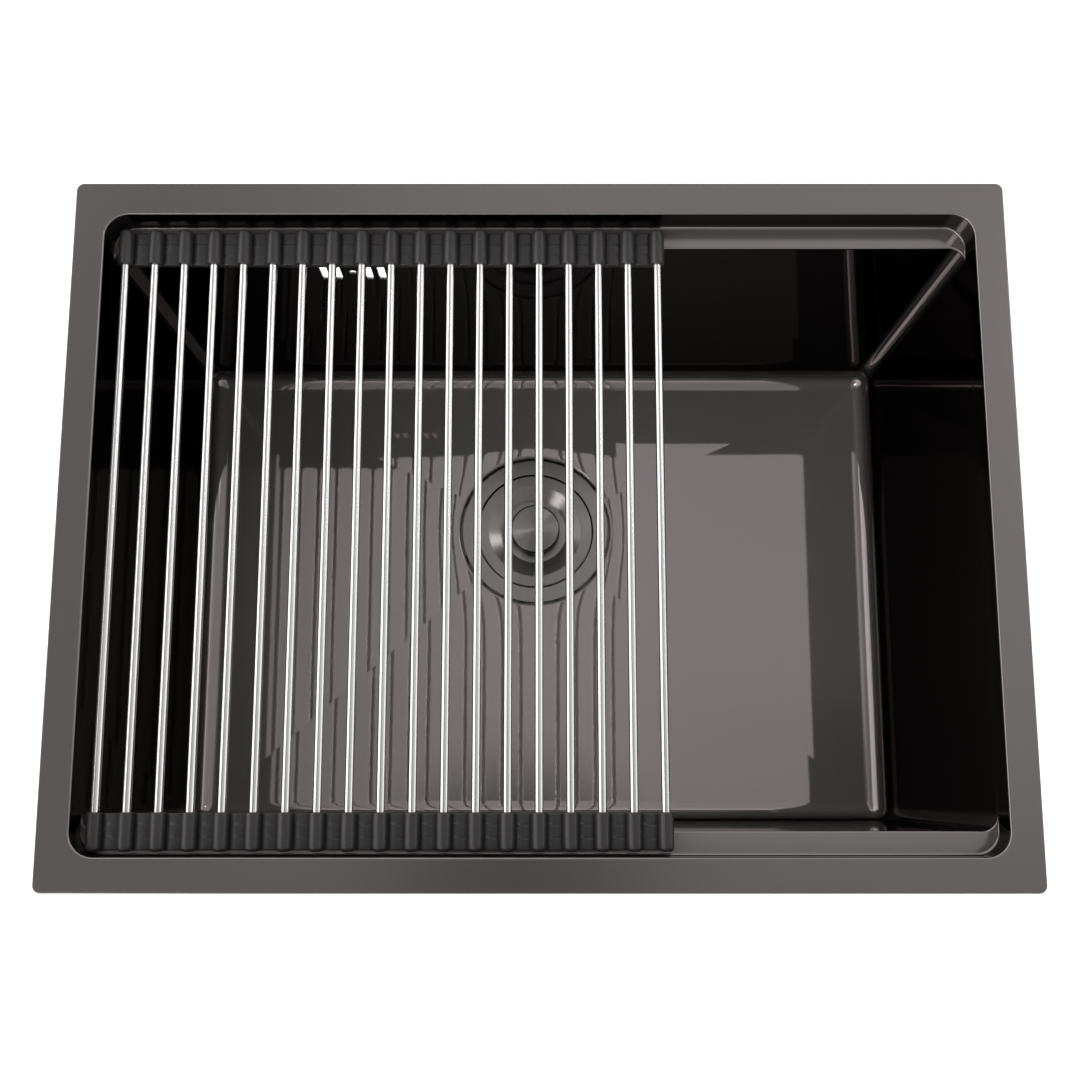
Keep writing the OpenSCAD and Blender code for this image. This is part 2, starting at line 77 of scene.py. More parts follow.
class BasinSizes(bpy.types.PropertyGroup):
    """Sizes of the basin."""

    rim_x: size("Rim half width", 0.305, "Half of the rim's width, left to right")
    rim_y: size("Rim half depth", 0.2285, "Half of the rim's depth, front to back")
    rim_corner: size("Rim corner", 0.005, "Radius of the rim's outer corners")
    rim_edge: size("Rim edge", 0.0004, "Rounding of the rim's outer edge")
    opening_x: size("Opening half width", 0.285, "Half of the opening's width")
    opening_y: size("Opening half depth", 0.207, "Half of the opening's depth")
    bowl_y: size("Bowl half depth", 0.192, "Half of the bowl's depth below the ledges")
    corner: size("Opening corner", 0.015, "Radius of the opening's upright corners")
    bowl_corner: size("Bowl corner", 0.010, "Radius of the upright corners below the ledges")
    sheet: size("Sheet", 0.0015, "Thickness of the steel")
    lip: size("Lip", 0.0012, "Rounding of the opening's upper edge")
    ledge_z: size("Ledge height", -0.018, "Height of the two ledges")
    ledge_fillet: size("Ledge fillet", 0.0016, "Rounding where a ledge meets the collar")
    ledge_edge: size("Ledge edge", 0.0012, "Rounding of a ledge's free edge")
    cusp: size("Cusp drop", 0.0006, "Spread of the ledge's rows down the side walls")
    floor_z: size("Floor height", -0.254, "Height of the floor's outer edge")
    fillet: size("Floor fillet", 0.015, "Radius between walls and floor")
    fall: size("Floor fall", 0.003, "Fall of the floor planes down to the drain")
    drain_x: size("Drain x", -0.004, "Sideways place of the drain")
    drain_y: size("Drain y", 0.054, "Front-to-back place of the drain")
    dish: size("Dish drop", 0.0005, "Drop of the dish below the planes at the seat")
    dish_fade: size("Dish fade", 0.014, "Distance over which the dish runs out")
    seat_r: size("Seat radius", 0.0646, "Radius of the pressed strainer seat")
    seat_lip: size("Seat lip", 0.0020, "Rounding of the seat's upper edge")
    seat_z: size("Seat height", -0.2615, "Height of the seat's floor")
    hole_r: size("Drain hole", 0.055, "Radius of the drain hole")
    overflow_x: size("Overflow x", -0.131, "Sideways place of the overflow")
    overflow_z: size("Overflow z", -0.053, "Height of the overflow's middle")
    slot_r: size("Slot radius", 0.00265, "Half of a slot's width, and the screw hole's radius")
    slot_half: size("Slot half height", 0.011, "Half of a slot's height")
    slot_near: size("Near slots", 0.0109, "Distance from the hole to the near slots")
    slot_far: size("Far slots", 0.0201, "Distance from the hole to the far slots")
    ledge_brush: ratio("Ledge brushing", 0.8, "Share of the rim's brushed finish on the ledges")
    patch_z: size("Patch half height", 0.015, "Half height of the wall patch round the slots")


class StrainerSizes(bpy.types.PropertyGroup):
    """Sizes of strainer, lid and knob."""

    flange_r: size("Flange radius", 0.063, "Radius of the flange")
    flange_z: size("Flange height", -0.2592, "Height of the flange's top")
    wall: size("Wall", 0.0015, "Thickness of the metal")
    mouth_r: size("Mouth radius", 0.0502, "Inner radius of the mouth")
    shelf_z: size("Shelf height", -0.2652, "Height of the shelf for the basket")
    cup_r: size("Cup radius", 0.0465, "Inner radius of the cup")
    cup_z: size("Cup floor", -0.3132, "Height of the cup's floor")
    cup_fillet: size("Cup fillet", 0.005, "Rounding inside the foot of the cup")
    outlet_r: size("Outlet radius", 0.024, "Outer radius of the outlet's thread")
    outlet_bore: size("Outlet bore", 0.0195, "Radius of the outlet's bore")
    outlet_z: size("Outlet end", -0.3387, "Height of the outlet's lower end")
    pitch: size("Thread pitch", 0.0022, "Pitch of the outlet's thread")
    thread: size("Thread depth", 0.0009, "Depth of the outlet's thread")
    edge: size("Edge rounding", 0.0004, "Rounding of turned edges")
    lid_r: size("Lid radius", 0.049, "Radius of the lid")
    lid_z: size("Lid height", -0.2597, "Height of the lid's flat edge")
    lid_wall: size("Lid wall", 0.0009, "Thickness of the lid")
    lid_skirt: size("Lid skirt", 0.004, "Depth of the lid's turned-down edge")
    dish_r: size("Dish radius", 0.040, "Radius at which the edge turns into the dish")
    flat_r: size("Flat radius", 0.027, "Radius at which the dish meets the flat")
    dish: size("Lid dish", 0.0045, "Depth of the lid's dish")
    dish_round: size("Dish rounding", 0.003, "Rounding at both edges of the lid's dish")
    stud_r: size("Stud radius", 0.003, "Radius of the knob's stud")
    stud_length: size("Stud length", 0.006, "Length of the stud below the lid")
    knob_r: size("Knob radius", 0.021, "Radius of the knob")
    knob_z: size("Knob height", -0.2512, "Height of the knob's rim")
    hollow: size("Knob hollow", 0.0025, "Depth of the cone in the knob's top")
    knob_round: size("Knob rounding", 0.0015, "Rounding of the knob's upper edge")
    knob_rim: size("Knob rim", 0.0020, "Width of the rim round the cone")


class RackSizes(bpy.types.PropertyGroup):
    """Sizes of the rack."""

    rods: IntProperty(name="Rods", description="Number of rods", default=19, min=1)
    first_x: size("First rod", -0.2748, "Place of the leftmost rod")
    pitch: size("Pitch", 0.0196, "Distance between rods")
    rod_z: size("Rod height", -0.0129, "Height of the rods' axes")
    rod_r: size("Rod radius", 0.0027, "Radius of a rod")
    rod_half: size("Rod half length", 0.2, "Half of a rod's length")
    half: size("Rack half length", 0.203, "Half of the rack's length, front to back")
    mid_y: size("Rack middle", -0.0014, "Place of the rack's middle, front to back")
    sleeve_r: size("Sleeve radius", 0.0048, "Radius of a sleeve")
    sleeve: size("Sleeve length", 0.024, "Length of a sleeve")
    end_round: size("Sleeve end", 0.0026, "Rounding of a sleeve's closed end")
    mouth_round: size("Sleeve mouth", 0.001, "Rounding of a sleeve's mouth")
    web_low: size("Strip underside", -0.0177, "Height of the strip's underside")
    web_t: size("Strip thickness", 0.0026, "Thickness of the strip")
    web_inset: size("Strip inset", 0.0006, "How much shorter than a sleeve at each end")
    web_bury: size("Strip root", 0.0034, "Distance from a rod's axis to the strip's root")
    web_round: size("Strip rounding", 0.0008, "Rounding of the strip's long edges")
    crown: size("Strip crown", 0.0016, "Rise of the strip's top between two sleeves")
    line_depth: size("Line depth", 0.0003, "Depth of the two faint lines across the strip")
    line_width: size("Line width", 0.0007, "Width of the two faint lines across the strip")


class Finishes(bpy.types.PropertyGroup):
    """Colours of the materials."""

    floor: colour("Bowl floor", (0.455, 0.410, 0.405), "Coated steel of the floor")
    rim: colour("Rim", (0.262, 0.240, 0.236), "Coated steel of rim and ledges")
    # painted shade: the walls are the floor's coated steel, darkened for the shade they show
    wall: colour("Bowl walls", (0.10, 0.094, 0.094), "Coated steel of the walls")
    strainer: colour("Strainer", (0.375, 0.350, 0.342), "Turned steel of the strainer")
    bright: colour("Bright steel", (0.80, 0.79, 0.78), "Stainless steel of basket and nut")
    rod: colour("Rods", (0.90, 0.893, 0.885), "Stainless steel of the rods")
    silicone: colour("Silicone", (0.032, 0.0295, 0.029), "Silicone of the rack's ends")
    rubber: colour("Rubber", (0.017, 0.017, 0.018), "Rubber of the pads and gaskets")
    seal: colour("Seal", (0.55, 0.54, 0.52), "Seal under the strainer's flange")
    nylon: colour("Nylon", (0.72, 0.70, 0.66), "Nylon of the lock nut")
    fibre: colour("Fibre", (0.28, 0.085, 0.045), "Fibre of the friction ring")
    ground: colour("Ground", (0.9, 0.9, 0.9), "Studio floor")


class StudioSizes(bpy.types.PropertyGroup):
    """Camera and light."""

    camera_x: size("Camera x", 0.00021, "Camera place")
    camera_y: size("Camera y", -0.16362, "Camera place")
    camera_z: size("Camera z", 0.68571, "Camera place")
    tilt: ratio("Tilt", 8.33, "Degrees from straight down, towards the back")
    lens: ratio("Lens", 37.18, "Focal length in millimetres for a 36 mm wide sensor")
    shift: ratio("Shift", 0.0753, "Upward camera shift")
    ground_z: size("Ground", -0.3392, "Height of the studio floor")
    ground_half: size("Ground half width", 4.0, "Half width of the studio floor")
    top: ratio("Overhead light", 0.53, "Brightness of the light straight above")
    front_shade: ratio("Front shade", 0.62, "Share of the light left at the front")
    left_shade: ratio("Left shade", 0.45, "Share of the light left at the left")
    camera_slope_x: ratio("Camera shade x", -0.02, "Middle of the camera's dark image, as a slope")
    camera_slope_y: ratio("Camera shade y", -0.08, "Middle of the camera's dark image, as a slope")
    camera_reach: ratio("Camera reach", 0.17, "Size of the camera's dark image, as a slope")
    camera_shade: ratio("Camera shade", 0.0, "Share of the light left at the camera")
    lamp: ratio("Lamp", 6.0, "Extra brightness of the lamp at the front left")
    lamp_x: ratio("Lamp x", -0.50, "Lamp's slope from straight up")
    lamp_y: ratio("Lamp y", -0.42, "Lamp's slope from straight up")
    lamp_reach: ratio("Lamp reach", 0.20, "Size of the lamp, as a slope")
    back_lamp: ratio("Back lamp", 4.5, "Extra brightness of the lamp at the back right")
    back_x: ratio("Back lamp x", 0.74, "Back lamp's slope from straight up")
    back_y: ratio("Back lamp y", 0.47, "Back lamp's slope from straight up")
    back_reach: ratio("Back lamp reach", 0.20, "Size of the back lamp, as a slope")
    side_left: ratio("Left surround", 1.8, "Brightness near the horizon at the left")
    side_right: ratio("Right surround", 1.2, "Brightness near the horizon at the right")
    glow: ratio("Ground glow", 0.55, "Light given off by the ground, which keeps it white")


# ---- meshes

WELD = 1e6  # steps a metre on which points are told apart
MARKS = ("wall", "rim")  # attributes: how much of the walls' painted shade and of the rim's brushed finish a point of the basin has


class Surface:
    """Collects grids of points and welds them into one mesh."""

    def __init__(self):
        self.points, self.quads, self.marks, self.total = [], [], [], 0

    def grid(self, points, keep=None, turn=False, marks=None):
        """Adds a grid of shape (rows, columns, 3): keep masks its cells, turn flips them, marks holds the two
        attributes of each point."""
        rows, columns = points.shape[:2]
        index = self.total + np.arange(rows * columns).reshape(rows, columns)
        quads = np.stack([index[:-1, :-1], index[:-1, 1:], index[1:, 1:], index[1:, :-1]], axis=-1)
        if turn:
            quads = quads[..., ::-1]
        self.quads.append(quads[keep] if keep is not None else quads.reshape(-1, 4))
        self.points.append(points.reshape(-1, 3))
        self.marks.append(np.zeros((rows * columns, 2)) if marks is None else marks.reshape(-1, 2))
        self.total += rows * columns
        return self

    def lathe(self, section, x, y, segments=96, about="Z", carve=None):
        """Turns a closed (n, 2) section of radius and height: point = (x + r cos a, y + r sin a, h), or about
        Y, with y taken as z: point = (x + r sin a, h, y + r cos a). carve(r, h, a) changes the radius."""
        ring = held(np.concatenate([section, section[:1]]))
        angle = np.linspace(0, 2 * math.pi, segments + 1)
        r, h = ring[:, :1], np.repeat(ring[:, 1:], segments + 1, axis=1)
        if carve:
            r = carve(r, h, angle)
        across, up = r * np.cos(angle), r * np.sin(angle)
        points = np.stack([x + across, y + up, h] if about == "Z" else [x + up, h, y + across], axis=-1)
        points[:, -1] = points[:, 0]
        return self.grid(points, turn=about == "Z")

    def build(self, name, material, angle=30.0, creased=None):
        """Makes the object: points at one place are one, and cells that shrink to an edge are dropped. Edges
        sharper than angle stay hard, and so do those with both ends where creased is true."""
        points, marks, quads = [np.concatenate(part) for part in (self.points, self.marks, self.quads)]
        _, first, inverse = np.unique(np.round(points * WELD).astype(np.int64), axis=0,
                                      return_index=True, return_inverse=True)
        points, marks, quads = points[first], marks[first], inverse.reshape(-1)[quads]
        same = quads == np.roll(quads, -1, axis=1)
        whole = quads[same.sum(axis=1) == 0]
        whole = whole[(whole[:, 0] != whole[:, 2]) & (whole[:, 1] != whole[:, 3])]
        thin = same.sum(axis=1) == 1
        triangles = quads[thin][~same[thin]].reshape(-1, 3)
        mesh = bpy.data.meshes.new(name)
        mesh.from_pydata(points, [], whole.tolist() + triangles.tolist())
        mesh.validate()
        if not len(mesh.polygons):
            raise RuntimeError("no faces in " + name)
        for slot, label in enumerate(MARKS):
            values = mesh.attributes.new(label, "FLOAT", "POINT")
            values.data.foreach_set("value", marks[:, slot].astype(np.float32))
        mesh.shade_smooth()
        mesh.set_sharp_from_angle(angle=math.radians(angle))
        if creased is not None:
            ends = np.empty(2 * len(mesh.edges), dtype=np.int32)
            mesh.edges.foreach_get("vertices", ends)
            sharp = np.empty(len(mesh.edges), dtype=bool)
            mesh.edges.foreach_get("use_edge_sharp", sharp)
            hard = creased(points)[ends.reshape(-1, 2)].all(axis=1)
            mesh.edges.foreach_set("use_edge_sharp", sharp | hard)
        mesh.materials.append(material)
        obj = bpy.data.objects.new(name, mesh)
        bpy.context.scene.collection.objects.link(obj)
        return obj


def rounded(corners, radii, steps=5):
    """A section with each corner of the (n, 2) polyline turned into an arc of its radius that touches both
    sides; radius 0 keeps the corner."""
    section = []
    for before, here, after, radius in zip(np.roll(corners, 1, 0), corners, np.roll(corners, -1, 0), radii):
        if radius <= 0:
            section.append(here[None])
            continue
        a, b = before - here, after - here
        a, b = a / np.hypot(*a), b / np.hypot(*b)
        half = math.acos(np.clip(a @ b, -1, 1)) / 2
        reach = radius / math.tan(half)
        middle = here + (a + b) / np.hypot(*(a + b)) * radius / math.sin(half)
        start, end = here + a * reach - middle, here + b * reach - middle
        sweep = math.pi - 2 * half
        t = np.linspace(0, 1, steps + 1)[:, None]
        arc = np.sin((1 - t) * sweep) * start + np.sin(t * sweep) * end
        section.append(middle + arc / math.sin(sweep))
    return np.concatenate(section)


def held(rows, gap=0.0003):
    """Adds two rows, gap from either end, between rows more than 4 gaps apart: the stretch between two
    roundings is then shaded flat. The first four columns are lengths."""
    out = [rows[:1]]
    for a, b in zip(rows[:-1], rows[1:]):
        apart = np.abs(b - a)[:4].max()
        if apart > 4 * gap:
            out.append(a + (b - a) * np.array([[gap / apart], [1 - gap / apart]]))
        out.append(b[None])
    return np.concatenate(out)


# ---- materials

def sums(operation):
    """A plain and a reflected method that add a Math node."""
    return (lambda wire, other: wire.shader.math(operation, wire, other),
            lambda wire, other: wire.shader.math(operation, other, wire))


class Wire:
    """A node socket that takes part in sums: wires and numbers combine with + - * / and **."""

    def __init__(self, shader, socket):
        self.shader, self.socket = shader, socket

    __add__, __radd__ = sums("ADD")
    __sub__, __rsub__ = sums("SUBTRACT")
    __mul__, __rmul__ = sums("MULTIPLY")
    __truediv__, __rtruediv__ = sums("DIVIDE")
    __pow__, __rpow__ = sums("POWER")


class Shader:
    """A node tree with one method for any node, and short names for sums, vectors and colour mixes."""

    def __init__(self, tree):
        self.tree = tree
        tree.nodes.clear()

    def node(self, kind, output=0, settings=None, **inputs):
        """Adds a node: its settings first, then values or wires into its sockets, by name (_ for a space) or
        by number (i0, i1)."""
        node = self.tree.nodes.new("ShaderNode" + kind)
        for key, value in (settings or {}).items():
            setattr(node, key, value)
        for key, value in inputs.items():
            numbered = key[0] == "i" and key[1:].isdigit()
            socket = node.inputs[int(key[1:]) if numbered else key.replace("_", " ")]
            if isinstance(value, Wire):
                self.tree.links.new(value.socket, socket)
            else:
                socket.default_value = value
        return Wire(self, node.outputs[output]) if len(node.outputs) else node

    def math(self, operation, first, second=0.0):
        return self.node("Math", settings={"operation": operation}, i0=first, i1=second)

    def vector(self, operation, first, second):
        """Vector maths on wires or triples."""
        return self.node("VectorMath", settings={"operation": operation}, i0=first, i1=second)

    def mix(self, factor, first, second):
        """A colour between two colours."""
        return self.node("Mix", output=2, settings={"data_type": "RGBA"}, i0=factor, i6=first, i7=second)

    def tint(self, tone, shade):
        """A colour times a number."""
        return self.node("VectorMath", settings={"operation": "SCALE"}, i0=tone, Scale=shade)

    def smooth(self, value, low, high, to_low=0.0, to_high=1.0):
        """A smooth step from to_low at low to to_high at high."""
        return self.node("MapRange", settings={"interpolation_type": "SMOOTHSTEP"},
                         Value=value, From_Min=low, From_Max=high, To_Min=to_low, To_Max=to_high)

    def place(self, scale=(1, 1, 1), centre=(0, 0, 0)):
        """Object coordinates, moved to a centre and scaled."""
        where = self.node("TexCoord", output="Object")
        return self.vector("MULTIPLY", self.vector("SUBTRACT", where, centre), scale)

    def axes(self, where):
        """The three parts of a vector."""
        return [Wire(self, part) for part in self.node("SeparateXYZ", Vector=where).socket.node.outputs]

    def noise(self, scale, detail=2.0, roughness=0.5, stretch=(1, 1, 1)):
        """Noise on object coordinates."""
        return self.node("TexNoise", Vector=self.place(stretch), Scale=scale, Detail=detail,
                         Roughness=roughness)

    def bump(self, height, strength, distance=0.0001):
        return self.node("Bump", Height=height, Strength=strength, Distance=distance)

    def finish(self, **inputs):
        """The Principled shader and the output."""
        self.node("OutputMaterial", Surface=self.node("BsdfPrincipled", **inputs))


def rgba(value):
    """A colour property with full alpha."""
    return (*value[:3], 1.0)


def new_material(name):
    """A named material and its emptied shader."""
    material = bpy.data.materials.new(name)
    material.use_nodes = True
    return material, Shader(material.node_tree)


def basin_steel(finish):
    """Coated steel: a mirror-like floor, walls painted near-black as their shade, and a rim brushed along its
    length.
    """
    edge_tint = 0.28
    material, s = new_material("basin_steel")
    wall, rim = [s.node("Attribute", output="Fac", settings={"attribute_name": label}) for label in MARKS]
    strokes = s.noise(1.0, 3.0, 0.6, stretch=(14, 900, 900))
    grain = s.noise(1100.0, detail=0.0)
    speckle = s.noise(2600.0, roughness=0.7)
    cloud = s.noise(9.0)
    # painted shade: the wall mark turns the colour to the walls' near-black, standing in for the shade on the
    # walls
    base = s.mix(wall, s.mix(rim, rgba(finish.floor), rgba(finish.rim)), rgba(finish.wall))
    worn = s.tint(base, 0.86 + 0.08 * strokes + 0.17 * speckle + 0.03 * cloud)
    roughness = 0.012 + 0.02 * speckle + 0.17 * rim
    height = (1.0 - rim) * grain + rim * 1.6 * strokes
    s.finish(Base_Color=worn, Metallic=s.math("MAXIMUM", 0.55 + 0.45 * wall, 0.85 * rim), Roughness=roughness,
             Specular_Tint=rgba([edge_tint] * 3), Normal=s.bump(height, 0.035))
    return material


def turned_steel(name, tone, centre, roughness, anisotropic, shadow_z=None, shadow_r=None):
    """Steel turned on a lathe: fine rings about an upright axis, whose gloss gathers in wedges. Its colour
    holds
    painted shade: darker below shadow_z, in the narrow gaps between the pieces, and outside shadow_r, on the
    side of a knob."""
    gap_fade, gap_dark, side_fade, side_dark = 0.0012, 0.04, 0.0009, 0.10
    material, s = new_material(name)
    flat = s.place((1, 1, 0), centre)
    radius = s.node("VectorMath", output=1, settings={"operation": "LENGTH"}, i0=flat)
    rings = s.node("TexNoise", settings={"noise_dimensions": "1D"}, W=radius * 2600.0, Scale=1.0, Detail=3.0)
    grain = s.noise(700.0, roughness=0.6)
    shade = 0.84 + 0.28 * rings + 0.04 * grain
    # painted shade: darker in the gaps below shadow_z and on a knob's side outside shadow_r
    if shadow_z is not None:
        shade *= s.smooth(s.axes(s.place())[2], shadow_z - gap_fade, shadow_z, gap_dark, 1.0)
    if shadow_r is not None:
        shade *= s.smooth(radius, shadow_r, shadow_r + side_fade, 1.0, side_dark)
    base = s.tint(tone[:3], shade)
    s.finish(Base_Color=base, Metallic=1.0, Roughness=roughness + 0.05 * grain, Anisotropic=anisotropic,
             Anisotropic_Rotation=0.25, Normal=s.bump(rings, 0.05))
    return material


def drawn_steel(name, tone, roughness, stretch, depth=0.05):
    """Steel with fine drawing lines along one axis."""
    material, s = new_material(name)
    lines = s.noise(1.0, 3.0, 0.6, stretch)
    spots = s.noise(320.0)
    base = s.tint(tone[:3], 0.93 + 0.08 * lines + 0.03 * spots)
    s.finish(Base_Color=base, Metallic=1.0, Roughness=roughness + 0.06 * lines, Normal=s.bump(lines, depth))
    return material


def moulded(name, tone, roughness, scale=1500.0, strength=0.15, dust=0.12):
    """Moulded rubber: a fine matt grain and slight cloudiness."""
    material, s = new_material(name)
    grain = s.noise(scale, 3.0, 0.6)
    cloud = s.noise(60.0, 3.0, 0.55)
    base = s.tint(tone[:3], 1.0 - dust / 2 + dust * cloud)
    s.finish(Base_Color=base, Roughness=roughness + 0.12 * (grain - 0.5),
             Normal=s.bump(grain, strength, distance=0.0002))
    return material


def pad_rubber(finish):
    """Sound pads: black rubber with a raised square weave."""
    material, s = new_material("pad_rubber")
    waves = [s.math("SINE", axis) for axis in s.axes(s.place((1100, 1100, 1100)))]
    weave = waves[0] * waves[1] + waves[1] * waves[2] + waves[2] * waves[0]
    grain = s.noise(600.0, 3.0, 0.6)
    base = s.tint(finish.rubber[:3], 0.8 + 0.4 * grain)
    s.finish(Base_Color=base, Roughness=0.62 + 0.2 * grain, Normal=s.bump(weave + grain, 0.3, distance=0.0004))
    return material


# ---- basin

SIDE_POINTS, FRONT_POINTS, LEFT_POINTS, RIGHT_POINTS, CORNER_STEPS = 10, 28, 6, 14, 14
CELL_COLUMNS, PATCH_ROWS = 9, 13
ENDS_WITHIN = 12  # degrees of a corner's arc in which the sides' rows join the ends'
CORNER_WALL_SHADE = 0.88  # share of the walls' painted shade kept on the upright corners, so a painted highlight makes them lighter
OUTER_WALL, OUTER_RIM = 0.6, 0.5  # shares of the walls' painted shade and of the rim's finish on the hidden side


def slot_edges(b):
    """X of the borders of the overflow patch's five cells, from left to right."""
    near, far, margin = b.slot_near, b.slot_far, 1.9 * b.slot_r
    mids = (near + far) / 2
    return b.overflow_x + np.array([-far - margin, -mids, -near / 2, near / 2, mids, far + margin])


def patch_heights(b):
    """Heights of the overflow patch's rows, from its top to its foot."""
    return np.linspace(b.overflow_z + b.patch_z, b.overflow_z - b.patch_z, PATCH_ROWS)


def loop_fractions(b):
    """Places round the loop that all rows share: fractions along a side, angles round a corner, fractions
    along the back, with the overflow patch's columns, and along the front."""
    straight, edges = b.opening_x - b.bowl_corner, slot_edges(b)
    fine = [np.linspace(*cell, CELL_COLUMNS)[:-1] for cell in zip(edges[:-1], edges[1:])]
    back = np.concatenate([np.linspace(-straight, edges[0], LEFT_POINTS)[:-1], *fine, edges[-1:],
                           np.linspace(edges[-1], straight, RIGHT_POINTS)[1:]])[::-1] / straight
    corner = np.linspace(0, math.pi / 2, CORNER_STEPS + 1)[1:-1]
    return np.linspace(-1, 1, SIDE_POINTS), corner, back, np.linspace(-1, 1, FRONT_POINTS)


def loops(b, rows):
    """Rounded rectangles, one for each row (half x, half y, corner radius, z at the ends, z at the sides,
    wall at the ends, wall at the sides, rim). A point of an arc is (hx - R + R cos a, hy - R + R sin a).
    In an arc's first degrees z and wall pass from the sides' value to that of the ends, front and back."""
    side, corner, back, front = loop_fractions(b)
    hx, hy, radius, z_end, z_side, wall_end, wall_side, rim = np.split(rows, 8, axis=1)
    sx, sy = hx - radius, hy - radius
    arc_x, arc_y = sx + radius * np.cos(corner), sy + radius * np.sin(corner)
    near = np.clip(1 - corner / math.radians(ENDS_WITHIN), 0, 1)
    near = near * near * (3 - 2 * near)
    parts = []
    for way, long in ((1, back), (-1, -front)):
        parts += [(way * hx, way * (sy * side), np.ones_like(side)),
                  (way * arc_x, way * arc_y, near),
                  (way * (sx * long), way * hy, np.zeros_like(long)),
                  (-way * arc_x[:, ::-1], way * arc_y[:, ::-1], near[::-1])]
    x, y = [np.concatenate([np.broadcast_to(p[axis], (len(rows), len(p[2]))) for p in parts], axis=1)
            for axis in (0, 1)]
    share = np.concatenate([p[2] for p in parts])
    # painted highlight: the upright corners' arcs keep less of the walls' painted shade, so they show lighter
    tone = np.concatenate([np.full(len(p[2]), CORNER_WALL_SHADE if k % 2 else 1.0) for k, p in enumerate(parts)])
    points = np.stack([x, y, z_end + (z_side - z_end) * share], axis=-1)
    marks = np.stack([(wall_end + (wall_side - wall_end) * share) * tone, rim * np.ones_like(share)], axis=-1)
    return [np.concatenate([part, part[:, :1]], axis=1) for part in (points, marks)]


def quarter(start, stop, steps):
    """Cosines and sines of a quarter turn's angles, from start to stop degrees."""
    angle = np.radians(np.linspace(start, stop, steps))
    return np.cos(angle), np.sin(angle)


def table(*columns):
    """Rows from columns, in which a single number fills its column."""
    return np.stack(np.broadcast_arrays(*columns), axis=1)


def blend_rows(first, last, steps):
    """Rows evenly spread between two rows, without the first."""
    return first + (np.array(last) - first) * np.linspace(0, 1, steps + 1)[1:, None]


def inner_rows(b):
    """Rows of the visible side, from the rim's outer edge to the floor's edge."""
    e, lip, f, g, brush = b.rim_edge, b.lip, b.ledge_fillet, b.ledge_edge, b.ledge_brush
    ox, oy, c, low, ledge = b.opening_x, b.opening_y, b.corner, b.bowl_corner, b.ledge_z
    z = np.array([-b.sheet + e, -e])
    rows = [table(b.rim_x, b.rim_y, b.rim_corner, z, z, 0, 0, 1)]
    cos, sin = quarter(0, 90, 4)
    rows.append(table(b.rim_x - e + e * cos, b.rim_y - e + e * cos, b.rim_corner - e + e * cos,
                      e * sin - e, e * sin - e, 0, 0, 1)[1:])
    rows.append(blend_rows(rows[-1][-1], [ox + lip, oy + lip, c + lip, 0, 0, 0, 0, 1], 5))
    cos, sin = quarter(90, 0, 7)
    rows.append(table(ox + lip - lip * cos, oy + lip - lip * cos, c + lip - lip * cos,
                      lip * sin - lip, lip * sin - lip, cos ** 2, cos ** 2, 1 - cos ** 2)[1:])
    rows.append(blend_rows(rows[-1][-1], [ox, oy, c, ledge + f, ledge + f, 1, 1, 0], 3))
    cos, sin = quarter(0, 90, 7)
    rows.append(table(ox, oy - f + f * cos, c, ledge + f - f * sin, ledge + f - (f - b.cusp) * sin,
                      cos ** 2, 1, brush * sin)[1:])
    rows.append(blend_rows(rows[-1][-1], [ox, b.bowl_y + g, low, ledge, ledge, 0, 1, brush], 6))
    cos, sin = quarter(90, 0, 6)
    rows.append(table(ox, b.bowl_y + g - g * cos, low, ledge - g + g * sin, ledge - g * cos,
                      cos ** 2, 1, brush * sin)[1:])
    upper = held(np.concatenate(rows))
    return np.concatenate([upper, wall_rows(b, upper[-1]), foot_rows(b, 0.0)])


def outer_rows(b):
    """Rows of the hidden side, from the rim's lower edge to the floor's edge, a sheet further out."""
    t, e, wall, rim = b.sheet, b.rim_edge, OUTER_WALL, OUTER_RIM
    ox, oy, c, bend = b.opening_x + t, b.opening_y + t, b.corner + t, b.ledge_fillet + t
    under = b.ledge_z - t
    rows = [np.array([[b.rim_x, b.rim_y, b.rim_corner, -t + e, -t + e, 0, 0, 1],
                      [b.rim_x - e, b.rim_y - e, b.rim_corner - e, -t, -t, 0, 0, 1],
                      [ox, oy, c, -t, -t, 0, 0, 1],
                      [ox, oy, c, under + bend, under + bend, wall, wall, rim]])]
    cos, sin = quarter(0, 90, 7)
    rows.append(table(ox, oy - bend + bend * cos, c, under + bend - bend * sin,
                      under + bend - (bend - b.cusp) * sin, wall, wall, rim)[1:])
    bowl_row = [ox, b.bowl_y + t, b.bowl_corner + t, under, under, wall, wall, rim]
    rows.append(blend_rows(rows[-1][-1], bowl_row, 3))
    rows += [wall_rows(b, rows[-1][-1]), foot_rows(b, t)]
    return np.concatenate(rows)


def wall_rows(b, top):
    """Rows of a straight wall below the row top: down to the overflow patch, across it and on to the fillet.
    A row close to either rounding keeps the wall's shading flat."""
    foot = b.floor_z + b.fillet
    heights = np.concatenate([[top[3] - b.rim_edge], patch_heights(b),
                              np.linspace(b.overflow_z - b.patch_z, foot, 7)[1:-1], [foot + b.rim_edge, foot]])
    rows = np.repeat(top[None], len(heights), axis=0)
    rows[:, 3] = rows[:, 4] = heights
    return rows


def foot_rows(b, grow):
    """Rows of the quarter round between wall and floor, grown outwards by grow; its share of the walls' painted
    shade fades with the square of 1.6 cos a - 0.6."""
    r = b.fillet + grow
    cos, sin = quarter(0, 90, 15)
    z = b.floor_z + b.fillet - r * sin
    wall = np.clip(1.6 * cos - 0.6, 0, 1) ** 2
    return table(b.opening_x - b.fillet + r * cos, b.bowl_y - b.fillet + r * cos, (b.bowl_corner + grow) * cos,
                 z, z, wall, wall, 0)[1:]


